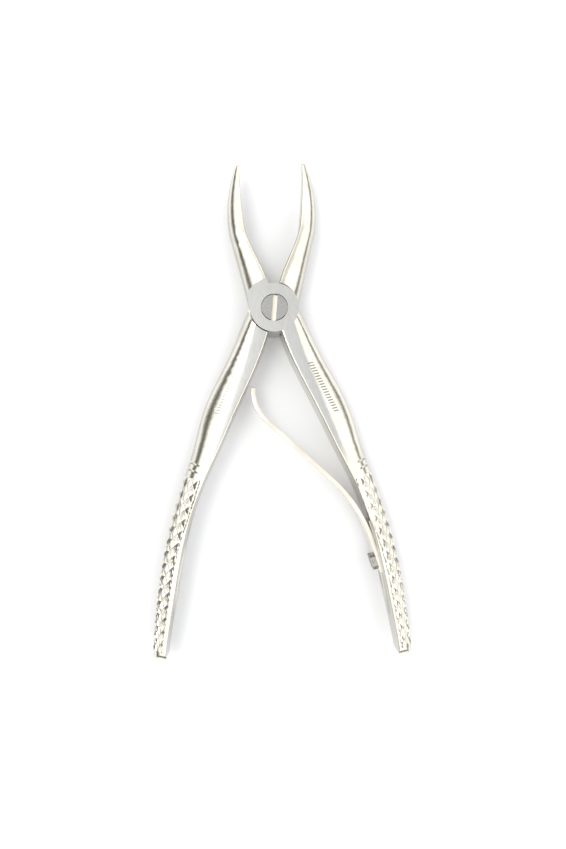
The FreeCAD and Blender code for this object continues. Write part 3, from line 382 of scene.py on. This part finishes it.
def turned_steel(name, light, dark, rough, centre, slot=None):
    """Turned stainless steel: fine rings round the screw's axis and a satin from the last grinding."""
    made = material(name)
    tree = made.node_tree
    place = node(tree, "ShaderNodeTexCoord").outputs["Object"]
    moved = node(tree, "ShaderNodeVectorMath", (place, centre), operation="SUBTRACT")
    far = node(tree, "ShaderNodeVectorMath", (moved,), operation="LENGTH")
    rings = node(tree, "ShaderNodeMath", (far, TURNING_STEP / 2 * MM), operation="PINGPONG")
    rings = node(tree, "ShaderNodeMapRange", (rings, 0.0, TURNING_STEP / 2 * MM))
    spots = steel_marks(tree, place, 2.5, (1.0, 1.0, 1.0), 3.0)
    spotted = node(tree, "ShaderNodeMapRange", (spots, *CLOUD_SPREAD))
    tone = node(tree, "ShaderNodeMix", (spotted, linear(dark), linear(light)), data_type="RGBA")
    if slot:
        # painted highlight: the slot's floor is painted near-white below the slot's depth
        height = node(tree, "ShaderNodeSeparateXYZ", (place,)).outputs["Z"]
        floor_highlight = node(tree, "ShaderNodeMapRange", (height, slot, slot - SLOT_HIGHLIGHT_SOFT * MM))
        tone = node(tree, "ShaderNodeMix", (floor_highlight, tone, linear(SLOT_FLOOR_HIGHLIGHT)), data_type="RGBA")
    worn = node(tree, "ShaderNodeMath", (spots, 0.12, rough), operation="MULTIPLY_ADD")
    bump = node(tree, "ShaderNodeBump", {"Strength": 0.15, "Distance": 0.01 * MM, "Height": rings})
    shader = node(tree, "ShaderNodeBsdfPrincipled", {
        "Base Color": tone, "Metallic": 1.0, "Roughness": worn, "Normal": bump})
    node(tree, "ShaderNodeOutputMaterial", {"Surface": shader})
    return made


def dress(name, made):
    """Gives a CAD node's mesh a material."""
    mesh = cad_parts[name].data
    mesh.materials.clear()
    mesh.materials.append(made)


dress("pivot_screw", turned_steel(
    "turned stainless steel screw", PIVOT_LIGHT, PIVOT_DARK, 0.30,
    (0, 0, BODY_DEPTH * MM), (BODY_DEPTH - SLOT_HIGHLIGHT_DEPTH) * MM))

# ------------------------------------------------------------------------------------ the leaf spring
# One strip of spring steel 1.1 mm thick: a foot held by a screw, a long bend, a straight arm that
# narrows, and a curl that slides on the other handle.

STRIP_THICK, STRIP_WIDE, STRIP_TIP = 1.1, 4.6, 3.0
STRIP_SUNK = 0.35
STRIP_LEVEL = STRIP_SUNK - STRIP_THICK / 2
# rounding of its long edges, and the turn, in radians, past which an edge is rounded or stays sharp
STRIP_EDGE, STRIP_CORNER, STRIP_SHARP = 0.18, 0.7, math.radians(40)
# the seat on the handle's inner side: its lean, the place it leans from, and its distance out there
SEAT_ANGLE, SEAT_FROM, SEAT_OUT, SEAT_PROUD = math.radians(5), 43, 8.7, 0.5
FOOT, BEND_PLACE = 8.0 / math.cos(SEAT_ANGLE), 61.0
BEND_RADIUS, BEND_ANGLE = 34.8, math.radians(29.6)
ARM, CURL_RADIUS, CURL_ANGLE = 22.2, 9.8, math.radians(52)
FOOT_STEPS, BEND_STEPS, ARM_STEPS, CURL_STEPS = 10, 30, 20, 18
# the strip narrows from here, over this distance up the handle
TAPER_FROM, TAPER_OVER = -51.0, 41.2
# a place this far up the bend, where the foot's hold on the front half ends
BLEND_FROM = 1.0
STRIP_LIGHT, STRIP_DARK = "f8f4ea", "ece6d8"


def strip_line():
    """Middle line of the strip as (away, up, turn) from the start of its bend."""
    line = [(STRIP_LEVEL, -FOOT * (1 - i / FOOT_STEPS), 0.0) for i in range(FOOT_STEPS)]
    for i in range(BEND_STEPS + 1):
        turn = BEND_ANGLE * i / BEND_STEPS
        line.append((STRIP_LEVEL - BEND_RADIUS * (1 - math.cos(turn)), BEND_RADIUS * math.sin(turn), turn))
    away, up, turn = line[-1]
    for i in range(1, ARM_STEPS + 1):
        far = ARM * i / ARM_STEPS
        line.append((away - far * math.sin(turn), up + far * math.cos(turn), turn))
    away, up, turn = line[-1]
    centre = (away + CURL_RADIUS * math.cos(turn), up + CURL_RADIUS * math.sin(turn))
    for i in range(1, CURL_STEPS + 1):
        lean = turn - CURL_ANGLE * i / CURL_STEPS
        away, up = (centre[0] - CURL_RADIUS * math.cos(lean), centre[1] - CURL_RADIUS * math.sin(lean))
        line.append((away, up, lean))
    return line


def on_handle(away, up, height=0.0):
    """A place beside the front handle's inner side, in metres in the forceps' frame, and its distance
    up the handle."""
    x = SEAT_OUT + (BEND_PLACE - SEAT_FROM) * math.tan(SEAT_ANGLE) + SEAT_PROUD
    x += away * math.cos(SEAT_ANGLE) - up * math.sin(SEAT_ANGLE)
    y = -BEND_PLACE + away * math.sin(SEAT_ANGLE) + up * math.cos(SEAT_ANGLE)
    flat = Matrix.Rotation(HALF_OPENING, 3, "Z") @ Vector((x, y, 0))
    return Vector((flat.x, flat.y, BODY_DEPTH / 2 + height)) * MM, y


mesh = bmesh.new()
rings = []
for away, up, turn in strip_line():
    taper = min(max((on_handle(away, up)[1] - TAPER_FROM) / TAPER_OVER, 0.0), 1.0)
    wide = (STRIP_WIDE + (STRIP_TIP - STRIP_WIDE) * taper) / 2
    thick = STRIP_THICK / 2
    ring = []
    for across, high in ((-thick, -wide), (thick, -wide), (thick, wide), (-thick, wide)):
        place, _ = on_handle(away + across * math.cos(turn), up + across * math.sin(turn), high)
        ring.append(mesh.verts.new(place))
    rings.append(ring)
for before, after in zip(rings, rings[1:]):
    for i in range(4):
        mesh.faces.new((before[i], before[(i + 1) % 4], after[(i + 1) % 4], after[i]))
mesh.faces.new(rings[0])
mesh.faces.new(rings[-1])
bmesh.ops.recalc_face_normals(mesh, faces=mesh.faces)
edges = [edge for edge in mesh.edges if edge.calc_face_angle(0) > STRIP_CORNER]
bmesh.ops.bevel(mesh, geom=edges, offset=STRIP_EDGE * MM, segments=3, profile=0.6, affect="EDGES",
                clamp_overlap=True)
strip_mesh = bpy.data.meshes.new("leaf_spring")
mesh.to_mesh(strip_mesh)
mesh.free()
leaf = bpy.data.objects.new("leaf_spring", strip_mesh)
bpy.context.scene.collection.objects.link(leaf)
strip_mesh.polygons.foreach_set("use_smooth", [True] * len(strip_mesh.polygons))
strip_mesh.set_sharp_from_angle(angle=STRIP_SHARP)

spring_steel = material("rolled spring steel")
tree = spring_steel.node_tree
place = node(tree, "ShaderNodeTexCoord").outputs["Object"]
# rolling lines run along the strip, 0.15 mm apart over its width
lines = steel_marks(tree, place, 6.5, (0.05, 0.05, 1.0), 3.0)
cloud = steel_marks(tree, place, 0.2, (1.0, 1.0, 1.0), 2.0)
clouded = node(tree, "ShaderNodeMapRange", (cloud, *CLOUD_SPREAD))
tone = node(tree, "ShaderNodeMix", (clouded, linear(STRIP_DARK), linear(STRIP_LIGHT)), data_type="RGBA")
rough = node(tree, "ShaderNodeMath", (lines, 0.14, 0.26), operation="MULTIPLY_ADD")
bump = node(tree, "ShaderNodeBump", {"Strength": 0.12, "Distance": 0.01 * MM, "Height": lines})
shader = node(tree, "ShaderNodeBsdfPrincipled", {
    "Base Color": tone, "Metallic": 1.0, "Roughness": rough, "Normal": bump})
node(tree, "ShaderNodeOutputMaterial", {"Surface": shader})
strip_mesh.materials.append(spring_steel)

bend_end = strip_line()[FOOT_STEPS + BEND_STEPS]
tuple(on_handle(STRIP_LEVEL, BLEND_FROM)[0])
tuple(on_handle(bend_end[0], bend_end[1])[0])
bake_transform(leaf)
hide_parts("spring_foot", "spring_arm")

# ------------------------------------------------------------------------------- the spring's screw
# A small slotted cheese-head screw of turned stainless steel that clamps the foot of the spring to
# the front handle. Its head stands proud of the strip.

SMALL_LIGHT, SMALL_DARK = "c9c5bd", "9c9a97"

low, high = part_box("spring_screw")
dress("spring_screw", turned_steel("turned stainless steel small screw", SMALL_LIGHT, SMALL_DARK, 0.24,
                                   tuple((Vector(low) + Vector(high)) / 2)))

# -------------------------------------------------------------------------- the table and the light
# A matt white sheet under the forceps, a wide soft light from above and the left, and a pale room
# that is darker towards its horizon, which draws the dark lines along the polished edges.

TABLE_HALF, TABLE_GAP = 3, 0.02
PAPER, SUNLIGHT, CARD, WALL = "fafbfd", "fffdf6", "b4b4b2", "e9eaeb"
# the room from the horizon up to straight overhead
ROOM = ((0.0, "808082"), (0.15, "1c1c1e"), (0.30, "565657"), (0.44, "ffffff"), (0.9, "ffffff"))
ROOM_LEAN, ROOM_LIGHT = 0.12, 1.3
# the grey card overhead, as parts of the direction: soft sides, near, far and lowest edges, and a
# widening past a line
CARD_SIDES, CARD_NEAR, CARD_FAR, CARD_LOWEST = (0.22, 0.10), (-0.22, -0.06), (0.52, 0.42), (0.6, 0.75)
CARD_WIDENS_PAST, CARD_WIDENING = 0.15, 0.9

sheet_mesh = bpy.data.meshes.new("table")
sheet_mesh.from_pydata([(-TABLE_HALF, -TABLE_HALF, 0), (TABLE_HALF, -TABLE_HALF, 0),
                        (TABLE_HALF, TABLE_HALF, 0), (-TABLE_HALF, TABLE_HALF, 0)], [], [(0, 1, 2, 3)])
table = bpy.data.objects.new("table", sheet_mesh)
bpy.context.scene.collection.objects.link(table)
table.location.z = -TABLE_GAP * MM
paper = material("matt white paper")
shader = node(paper.node_tree, "ShaderNodeBsdfPrincipled", {
    "Base Color": linear(PAPER), "Roughness": 0.9, "Specular IOR Level": 0.1})
node(paper.node_tree, "ShaderNodeOutputMaterial", {"Surface": shader})
sheet_mesh.materials.append(paper)

sun = bpy.data.objects.new("window", bpy.data.lights.new("window", "SUN"))
sun.data.energy = 0.62
sun.data.angle = math.radians(24)
sun.data.color = linear(SUNLIGHT)[:3]
sun.rotation_euler = (math.radians(-8), math.radians(-22), 0)
bpy.context.scene.collection.objects.link(sun)

world = bpy.data.worlds.new("room")
bpy.context.scene.world = world
world.use_nodes = True
tree = world.node_tree
tree.nodes.clear()
way = node(tree, "ShaderNodeSeparateXYZ", (
    node(tree, "ShaderNodeTexCoord").outputs["Generated"],)).outputs
leaning = node(tree, "ShaderNodeMath", (way["X"], ROOM_LEAN, way["Z"]), operation="MULTIPLY_ADD")
sky = node(tree, "ShaderNodeValToRGB", {"Fac": leaning})
stops = sky.color_ramp.elements
while len(stops) < len(ROOM):
    stops.new(0.5)
for element, (place, code) in zip(stops, ROOM):
    element.position = place
    element.color = linear(code)
# the level ground faces mirror the grey card
past = node(tree, "ShaderNodeMath", (way["Y"], CARD_WIDENS_PAST), operation="SUBTRACT")
past = node(tree, "ShaderNodeMath", (past, 0.0), operation="MAXIMUM")
spread = node(tree, "ShaderNodeMath", (past, CARD_WIDENING), operation="MULTIPLY")
sideways = node(tree, "ShaderNodeMath", (way["X"],), operation="ABSOLUTE")
sideways = node(tree, "ShaderNodeMath", (sideways, spread), operation="SUBTRACT")
across = node(tree, "ShaderNodeMapRange", (sideways, *CARD_SIDES))
near = node(tree, "ShaderNodeMapRange", (way["Y"], *CARD_NEAR))
far = node(tree, "ShaderNodeMapRange", (way["Y"], *CARD_FAR))
overhead = node(tree, "ShaderNodeMapRange", (way["Z"], *CARD_LOWEST))
card = node(tree, "ShaderNodeMath", (near, far), operation="MULTIPLY")
card = node(tree, "ShaderNodeMath", (across, card), operation="MULTIPLY")
card = node(tree, "ShaderNodeMath", (card, overhead), operation="MULTIPLY")
above = node(tree, "ShaderNodeMix", (card, sky, linear(CARD)), data_type="RGBA")
# the room itself is seen as a plain pale wall, and only lights and reflects as above
seen = node(tree, "ShaderNodeLightPath").outputs["Is Camera Ray"]
wall = node(tree, "ShaderNodeMix", (seen, above, linear(WALL)), data_type="RGBA")
light = node(tree, "ShaderNodeBackground", {"Color": wall, "Strength": ROOM_LIGHT})
node(tree, "ShaderNodeOutputWorld", {"Surface": light})

view = bpy.data.cameras.new("camera")
view.lens = 22.05
view.sensor_width = 36
view.sensor_fit = "AUTO"
view.shift_x = 0.033
view.clip_start = 0.005
camera = bpy.data.objects.new("camera", view)
camera.location = (-0.00539, -0.02818, 0.1346)
camera.rotation_euler = (0, 0, math.radians(-1.4))
bpy.context.scene.collection.objects.link(camera)
bpy.context.scene.camera = camera
bpy.context.scene.view_settings.view_transform = "Standard"
